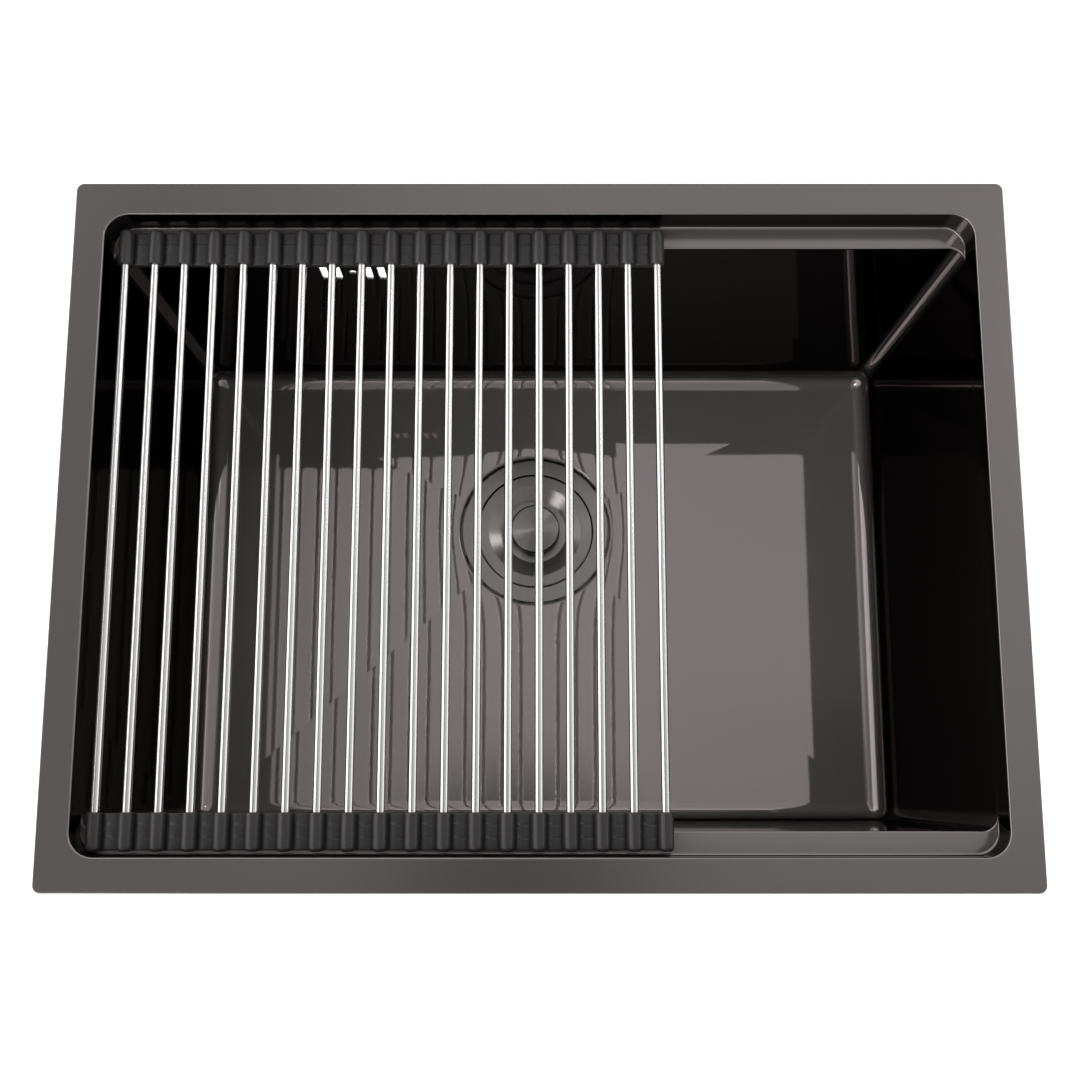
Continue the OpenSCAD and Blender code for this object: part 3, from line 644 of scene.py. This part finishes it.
def plane_shares(b, dx, dy):
    """Heights of the floor planes over their tip, as shares of the fall: dx / edge for the planes at the
    sides, and dy / edge for those at front and back. The floor is the larger."""
    foot_x, foot_y = b.opening_x - b.fillet, b.bowl_y - b.fillet
    return (np.maximum(dx / (foot_x - b.drain_x), -dx / (foot_x + b.drain_x)),
            np.maximum(dy / (foot_y - b.drain_y), -dy / (foot_y + b.drain_y)))


def floor_height(b, x, y):
    """z of the floor: z = floor - fall (1 - s) - dish exp(-(r - r0) / fade), with s the share of the planes
    and r the distance from the drain, r0 at the seat's edge."""
    dx, dy = x - b.drain_x, y - b.drain_y
    dip = b.dish * np.exp(-(np.hypot(dx, dy) - b.seat_r) / b.dish_fade)
    return b.floor_z - b.fall * (1 - np.maximum(*plane_shares(b, dx, dy))) - dip


def floor_grid(b, edge, drop):
    """Rays from the floor's edge to the seat, radius = lip + (reach - lip) t^1.7 with t from 1 to 0; z
    follows the floor, lowered by drop. A ring close to the edge keeps the floor's shading flat."""
    centre = np.array([b.drain_x, b.drain_y])
    ray = edge - centre
    reach = np.hypot(ray[:, 0], ray[:, 1])
    lip = b.seat_r + (b.seat_lip if drop == 0 else b.sheet)
    steps = np.insert(np.linspace(1, 0, 34), 1, 0.9985)[:, None]
    radius = lip + (reach - lip) * steps ** 1.7
    xy = centre + ray[None] / reach[None, :, None] * radius[..., None]
    z = floor_height(b, xy[..., 0], xy[..., 1]) - drop
    z[0] = b.floor_z - drop
    return np.concatenate([xy, z[..., None]], axis=-1), ray / reach[:, None]


def on_crease(b, points):
    """True on the floor's four creases, where two planes are equally high."""
    dx, dy = points[:, 0] - b.drain_x, points[:, 1] - b.drain_y
    along, across = plane_shares(b, dx, dy)
    inside = (points[:, 2] > b.floor_z - b.fall - b.dish) & (points[:, 2] < b.floor_z + 1e-5)
    return inside & (np.abs(along - across) < 2e-4) & (np.hypot(dx, dy) > b.seat_r + b.seat_lip)


def slot_cells(surface, b, y, turn, mark):
    """The five cells of the overflow patch in the plane at y, with each hole's outline. Rows run from a
    cell's border, point p, to the nearest point of its hole, spine + r (p - spine) / |p - spine|."""
    edges, heights = slot_edges(b), patch_heights(b)
    share = np.array([0.0, 0.5, 0.8, 1.0])[:, None, None]
    outlines = []
    offsets = (-b.slot_far, -b.slot_near, 0, b.slot_near, b.slot_far)
    for left, right, offset in zip(edges[:-1], edges[1:], offsets):
        across = np.linspace(left, right, CELL_COLUMNS)
        border = np.concatenate([table(across, heights[0])[:-1], table(right, heights)[:-1],
                                 table(across[::-1], heights[-1])[:-1], table(left, heights[::-1])])
        spine_half = b.slot_half - b.slot_r if offset else 0.0
        rise = np.clip(border[:, 1] - b.overflow_z, -spine_half, spine_half)
        spine = table(b.overflow_x + offset, b.overflow_z + rise)
        away = border - spine
        hole = spine + b.slot_r * away / np.hypot(away[:, 0], away[:, 1])[:, None]
        flat = border + (hole - border) * share
        points = np.stack([flat[..., 0], np.full(flat.shape[:2], y), flat[..., 1]], axis=-1)
        surface.grid(points, turn=turn, marks=np.broadcast_to(np.array(mark), points.shape[:2] + (2,)))
        outlines.append(points[-1])
    return outlines


def basin_surface(b):
    """The whole basin: an inner and an outer skin of loops, floor rays and seat, joined at the rim,
    round the drain hole and through the overflow holes."""
    surface, outlines = Surface(), []
    edges, patch = slot_edges(b), patch_heights(b)
    centre, under = np.array([b.drain_x, b.drain_y]), b.seat_z - b.sheet
    for rows, y, turn, drop, mark in (
            (inner_rows(b), b.bowl_y, False, 0.0, (1.0, 0.0)),
            (outer_rows(b), b.bowl_y + b.sheet, True, b.sheet, (OUTER_WALL, OUTER_RIM))):
        points, marks = loops(b, rows)
        x, depth, z = np.moveaxis((points[:-1, :-1] + points[1:, 1:]) / 2, -1, 0)
        in_patch = ((depth > b.bowl_y - 1 / WELD) & (x > edges[0]) & (x < edges[-1])
                    & (z < patch[0]) & (z > patch[-1]))
        surface.grid(points, keep=~in_patch, turn=turn, marks=marks)
        outlines.append(slot_cells(surface, b, y, not turn, mark))
        floor, ray = floor_grid(b, points[-1][:, :2], drop)
        surface.grid(floor, turn=turn)
        if drop == 0:
            cos, sin = quarter(90, 180, 6)
            lip_z = floor[-1, :, 2][None] - b.seat_lip + b.seat_lip * sin[:, None]
            seat = list(zip(b.seat_r + b.seat_lip + b.seat_lip * cos, lip_z))
            seat += [(b.seat_r, b.seat_z), (b.hole_r, b.seat_z), (b.hole_r, under)]
        else:
            seat = [(b.seat_r + b.sheet, floor[-1, :, 2]), (b.seat_r + b.sheet, under), (b.hole_r, under)]
        rings = np.stack([np.concatenate([centre + ray * r, np.broadcast_to(z, len(ray))[:, None]], axis=1)
                          for r, z in seat])
        # painted shade: the seat's floor and the drain hole's edge take the walls' near-black colour
        dark = np.zeros(rings.shape[:2] + (2,))
        dark[-3:, :, 0] = 1.0
        surface.grid(rings, turn=turn, marks=dark)
    for inner, outer in zip(*outlines):
        surface.grid(np.stack([inner, outer]), turn=True)
    return surface


# ---- strainer and rack

THREAD_ROWS, LID_SEGMENTS, RACK_SEGMENTS, STRIP_COLUMNS = 99, 128, 40, 13


def strainer_surface(s, x, y):
    """The strainer body, turned from one section. Its outlet carries a thread that grows in over its first
    turn: r = r0 - depth (1 - cos(2 pi h / pitch - a)) / 2."""
    e, under, top = s.edge, s.flange_z - s.wall, s.cup_z - s.wall
    mouth, cup = s.mouth_r + s.wall, s.cup_r + s.wall
    corners = np.array([
        (s.outlet_bore, s.cup_z), (s.cup_r, s.cup_z), (s.cup_r, s.shelf_z), (s.mouth_r, s.shelf_z),
        (s.mouth_r, s.flange_z), (s.flange_r, s.flange_z), (s.flange_r, under), (mouth, under),
        (mouth, s.shelf_z - s.wall), (cup, s.shelf_z - s.wall), (cup, top), (s.outlet_r, top)])
    section = rounded(corners, [2 * e, s.cup_fillet, e, e, e, 1.5 * e, 0, 0, e, e, 2 * e, 0])
    section = np.concatenate([section, table(s.outlet_r, np.linspace(top, s.outlet_z, THREAD_ROWS + 1)[1:]),
                              [[s.outlet_bore + e, s.outlet_z], [s.outlet_bore, s.outlet_z + e]]])

    def thread(r, h, angle):
        cut = np.clip((top - h) / s.pitch, 0, 1) * (np.abs(r - s.outlet_r) < 1e-7) * (h < top)
        return r - s.thread * (0.5 - 0.5 * np.cos(2 * math.pi * h / s.pitch - angle)) * cut

    return Surface().lathe(section, x, y, carve=thread)


def turned_surface(corners, radii, x, y):
    """A piece turned from one section, whose corners run upwards on the inside."""
    return Surface().lathe(rounded(np.array(corners)[::-1], radii[::-1])[::-1], x, y, LID_SEGMENTS)


def sleeve_section(r):
    """Half section of a sleeve, radius against the distance from its closed end: a domed end, a straight
    side, a rounded mouth, and a bore round the rod over 0.3 of its length."""
    bore = r.sleeve - 0.3 * r.sleeve
    corners = np.array([(0, 0), (r.sleeve_r, 0), (r.sleeve_r, r.sleeve), (r.rod_r, r.sleeve), (r.rod_r, bore),
                        (0, bore)])
    return rounded(corners, [0, r.end_round, r.mouth_round, 0.4 * r.mouth_round, 0, 0], 7)


def web_loop(r):
    """Section of the strip, a closed loop of (distance from the rack's end, height above its underside): a
    slab with round edges whose top dips by depth * exp(-(d / width)^2) at 35 and 68 % of its length."""
    low, high = r.web_inset, r.sleeve - r.web_inset
    corners = np.array([(low, 0), (high, 0), (high, r.web_t), (low, r.web_t)])
    section = rounded(corners, [r.web_round] * 4, 4)
    top = table(np.linspace(high - r.web_round, low + r.web_round, 60)[1:-1], r.web_t)
    first = np.flatnonzero(section[:, 1] > r.web_t - 1e-7)[0] + 1
    section = np.concatenate([section[:first], top, section[first:]])
    for share in (0.35, 0.68):
        where = (section[:, 0] - r.sleeve * share) / r.line_width
        section[:, 1] -= r.line_depth * np.exp(-where ** 2) * (section[:, 1] > r.web_t / 2)
    return section


def strip_surface(r, ring, x):
    """The front and the back strip from the rod at x to the next: the section is carried across, and its top
    rises by crown (1 - u^2) with u from -1 to 1. A fan closes either end."""
    across = np.linspace(x + r.web_bury, x + r.pitch - r.web_bury, STRIP_COLUMNS)[:, None]
    rise = r.crown * (1 - np.linspace(-1, 1, STRIP_COLUMNS) ** 2)[:, None]
    surface = Surface()
    for way in (1, -1):
        y = r.mid_y - way * (r.half - ring[:, 0])
        z = r.web_low + ring[:, 1] + rise * (ring[:, 1] > r.web_t / 2)
        points = np.stack(np.broadcast_arrays(across, y, z), axis=-1)
        surface.grid(points, turn=way < 0)
        for end, flip in ((points[0], way > 0), (points[-1], way < 0)):
            surface.grid(np.stack([end, np.broadcast_to(end.mean(axis=0), end.shape)]), turn=flip)
    return surface


# ---- operators

class SINK_OT_basin(bpy.types.Operator):
    """Builds the steel basin with its rim, ledges, creased floor, drain seat and overflow holes"""

    bl_idname = "sink.basin"
    bl_label = "Basin"

    def execute(self, context):
        settings = context.scene.sink_settings
        b = settings.basin
        basin = basin_surface(b).build("basin_skin", basin_steel(settings.finish), 24.0,
                                       lambda points: on_crease(b, points))
        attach(basin, "sink")
        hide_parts("rim", "collar_walls", "collar_corners", "ledges", "bowl_walls", "overflow_plate",
                    "wall_below_overflow", "bowl_corners", "side_bends", "end_bends", "foot_corners", "bowl")
        return {"FINISHED"}


class SINK_OT_strainer(bpy.types.Operator):
    """Builds the strainer body with its threaded outlet, the dished lid and the hollow knob"""

    bl_idname = "sink.strainer"
    bl_label = "Strainer"

    def execute(self, context):
        settings = context.scene.sink_settings
        s, tone, e = settings.strainer, settings.finish.strainer, settings.strainer.edge
        x, y = settings.basin.drain_x, settings.basin.drain_y
        axis = (x, y, 0.0)
        steel = turned_steel("strainer_turned", tone, axis, 0.20, 0.7, shadow_z=s.flange_z - 0.0008)
        body = strainer_surface(s, x, y).build("strainer_skin", steel)
        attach(body, "sink")
        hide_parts("strainer_body", "strainer_outlet")

        flat_z, skirt_z, inside = s.lid_z - s.dish, s.lid_z - s.lid_skirt, s.lid_r - s.lid_wall
        under, flat_under = s.lid_z - s.lid_wall, flat_z - s.lid_wall
        corners = [(s.stud_r, flat_z), (s.flat_r, flat_z), (s.dish_r, s.lid_z), (s.lid_r, s.lid_z),
                   (s.lid_r, skirt_z), (inside, skirt_z), (inside, under), (s.dish_r, under),
                   (s.flat_r, flat_under), (s.stud_r, flat_under)]
        radii = [0, s.dish_round, s.dish_round, e, 0, 0, 2 * e, s.dish_round, s.dish_round, 0]
        steel = turned_steel("lid_turned", tone, axis, 0.22, 0.9)
        lid = turned_surface(corners, radii, x, y).build("lid_skin", steel)
        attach(lid, "lid")
        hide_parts("lid")

        low = flat_under - s.stud_length
        corners = [(0, s.knob_z - s.hollow), (s.knob_r - s.knob_rim, s.knob_z), (s.knob_r, s.knob_z),
                   (s.knob_r, flat_z), (s.stud_r, flat_z), (s.stud_r, low), (0, low)]
        radii = [0, 0.5 * e, s.knob_round, e, 0, 0.5 * e, 0]
        steel = turned_steel("knob_turned", tone, axis, 0.27, 0.95, shadow_r=s.knob_r - s.knob_round)
        knob = turned_surface(corners, radii, x, y).build("knob_skin", steel)
        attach(knob, "lid")
        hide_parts("lid_knob")
        return {"FINISHED"}


class SINK_OT_rack(bpy.types.Operator):
    """Builds the rack's rods and silicone sleeves, and the strips between the sleeves, whose tops rise in a
    crown
    """

    bl_idname = "sink.rack"
    bl_label = "Rack"

    def execute(self, context):
        settings = context.scene.sink_settings
        r, e = settings.rack, 0.2 * settings.rack.rod_r
        steel = drawn_steel("rod_drawn", settings.finish.rod, 0.17, (900, 12, 900), 0.006)
        silicone = moulded("silicone", settings.finish.silicone, 0.36, 1800.0, 0.10)
        corners = [(0, -r.rod_half), (r.rod_r, -r.rod_half), (r.rod_r, r.rod_half), (0, r.rod_half)]
        bar = rounded(np.array(corners), [0, e, e, 0], 3)
        shell, strip = sleeve_section(r), web_loop(r)
        strip = np.concatenate([strip, strip[:1]])
        for k in range(1, r.rods + 1):
            x, body = r.first_x + (k - 1) * r.pitch, f"rack_{k:02d}"
            bar_surface = Surface().lathe(bar + np.array([0, r.mid_y]), x, r.rod_z, RACK_SEGMENTS, "Y")
            rod = bar_surface.build(f"rod_skin_{k:02d}", steel)
            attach(rod, body)
            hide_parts(f"rod_{k:02d}")
            surface = Surface()
            for way in (1, -1):
                ends = shell * np.array([1, way]) + np.array([0, r.mid_y - way * r.half])
                surface.lathe(ends[::way], x, r.rod_z, RACK_SEGMENTS, "Y")
            sleeve = surface.build(f"sleeve_skin_{k:02d}", silicone)
            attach(sleeve, body)
            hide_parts(f"grip_{k:02d}")
        for k in range(1, r.rods):
            x = r.first_x + (k - 1) * r.pitch
            web = strip_surface(r, strip, x).build(f"strip_{k:02d}", silicone)
            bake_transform(web)
        return {"FINISHED"}


class SINK_OT_carried(bpy.types.Operator):
    """Gives the frame's pieces that stay in view their materials"""

    bl_idname = "sink.carried"
    bl_label = "Pads, basket and fixings"

    def execute(self, context):
        settings = context.scene.sink_settings
        f, b = settings.finish, settings.basin
        pads = pad_rubber(f)
        bright = turned_steel("basket_turned", f.bright, (b.drain_x, b.drain_y, 0.0), 0.18, 0.3)
        gasket = moulded("gasket_rubber", f.rubber, 0.55)
        finishes = {
            "floor_pads": pads, "wall_pads": pads, "basket": bright, "basket_grip": bright,
            "lid_nut": drawn_steel("nut_steel", f.bright, 0.22, (200, 200, 900)),
            "flange_seal": moulded("seal", f.seal, 0.5), "body_gasket": gasket,
            "friction_ring": moulded("fibre", f.fibre, 0.8, 900.0, 0.4, 0.3),
            "lock_nut": moulded("nylon", f.nylon, 0.36, 1200.0, 0.08, 0.06)}
        for name, material in finishes.items():
            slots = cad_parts[name].data.materials
            slots.clear()
            slots.append(material)
        return {"FINISHED"}


class SINK_OT_studio(bpy.types.Operator):
    """Sets the camera, the pale ground and the soft light round the sink"""

    bl_idname = "sink.studio"
    bl_label = "Studio"

    def execute(self, context):
        scene, settings = context.scene, context.scene.sink_settings
        c, white = settings.studio, (1.0, 1.0, 1.0, 1.0)
        camera = bpy.data.objects.new("camera", bpy.data.cameras.new("camera"))
        scene.collection.objects.link(camera)
        camera.location = (c.camera_x, c.camera_y, c.camera_z)
        camera.rotation_euler = (math.radians(c.tilt), 0, 0)
        camera.data.sensor_width = 36
        camera.data.lens = c.lens
        camera.data.shift_y = c.shift
        camera.data.clip_start = 0.01
        scene.camera = camera
        scene.view_settings.view_transform = "Standard"

        material, s = new_material("ground")
        paper = s.noise(40.0, 3.0, 0.6)
        base = s.mix(0.1 * paper, rgba(settings.finish.ground), white)
        s.finish(Base_Color=base, Roughness=0.9, Emission_Color=white, Emission_Strength=c.glow)
        u = np.linspace(-c.ground_half, c.ground_half, 9)
        sheet = np.stack([*np.meshgrid(u, u), np.full((9, 9), c.ground_z)], axis=-1)
        ground = Surface().grid(sheet).build("ground", material)

        world = bpy.data.worlds.new("studio")
        world.use_nodes = True
        scene.world = world
        self.light(Shader(world.node_tree), c, white)
        return {"FINISHED"}

    def light(self, s, c, white):
        """Brightness by the slopes x / z and y / z of a direction: overhead light times the shades of camera,
        front and left, plus two lamps. Low directions show the surround, further up at the left."""
        front_fade, left_fade, lamp_core, back_core = (-0.14, 0.06), (-0.45, 0.0), 0.5, 0.3
        surround_fade, height_fade, low_from, low_to = (-0.3, 0.3), (-0.6, -0.2), (0.74, 0.25), (0.86, 0.82)
        x, y, z = s.axes(s.node("TexCoord", output="Generated"))
        up = s.math("MAXIMUM", z, 0.05)
        slope_x, slope_y = x / up, y / up
        places = (c.camera_slope_x, c.camera_slope_y), (c.lamp_x, c.lamp_y), (c.back_x, c.back_y)
        apart, lamp, back_lamp = [s.math("SQRT", (slope_x - at_x) ** 2.0 + (slope_y - at_y) ** 2.0)
                                  for at_x, at_y in places]
        overhead = c.top * s.smooth(apart, 0.05, c.camera_reach, c.camera_shade, 1.0)
        overhead *= s.smooth(slope_y, *front_fade, c.front_shade, 1.0)
        overhead *= s.smooth(slope_x, *left_fade, c.left_shade, 1.0)
        overhead += s.smooth(lamp, lamp_core * c.lamp_reach, c.lamp_reach, c.lamp, 0.0)
        overhead += s.smooth(back_lamp, back_core * c.back_reach, c.back_reach, c.back_lamp, 0.0)
        surround = s.smooth(x, *surround_fade, c.side_left, c.side_right)
        low = s.smooth(z, s.smooth(x, *height_fade, *low_from), s.smooth(x, *height_fade, *low_to), 1.0, 0.0)
        shown = s.node("Background", Color=white, Strength=overhead + low * (surround - overhead))
        s.node("OutputWorld", Surface=shown)


class SINK_PT_panel(bpy.types.Panel):
    """Lists the sink's pieces and sizes."""

    bl_idname = "SINK_PT_panel"
    bl_label = "Workstation sink"
    bl_space_type = "VIEW_3D"
    bl_region_type = "UI"
    bl_category = "Sink"

    def draw(self, context):
        settings = context.scene.sink_settings
        for operator, group in PARTS:
            box = self.layout.box()
            box.operator(operator.bl_idname)
            for field in getattr(settings, group).__annotations__:
                box.prop(getattr(settings, group), field)


class SinkSettings(bpy.types.PropertyGroup):
    """Sizes and colours of the sink."""

    basin: PointerProperty(type=BasinSizes)
    strainer: PointerProperty(type=StrainerSizes)
    rack: PointerProperty(type=RackSizes)
    finish: PointerProperty(type=Finishes)
    studio: PointerProperty(type=StudioSizes)


PARTS = ((SINK_OT_basin, "basin"), (SINK_OT_strainer, "strainer"), (SINK_OT_rack, "rack"),
         (SINK_OT_carried, "finish"), (SINK_OT_studio, "studio"))
CLASSES = (BasinSizes, StrainerSizes, RackSizes, Finishes, StudioSizes, SinkSettings,
           *(operator for operator, _ in PARTS), SINK_PT_panel)


def register():
    for cls in CLASSES:
        bpy.utils.register_class(cls)
    bpy.types.Scene.sink_settings = PointerProperty(type=SinkSettings)


def unregister():
    del bpy.types.Scene.sink_settings
    for cls in reversed(CLASSES):
        bpy.utils.unregister_class(cls)


def main():
    """Builds every piece."""
    register()
    bpy.ops.sink.basin()
    bpy.ops.sink.strainer()
    bpy.ops.sink.rack()
    bpy.ops.sink.carried()
    bpy.ops.sink.studio()


if __name__ == "__main__":
    main()
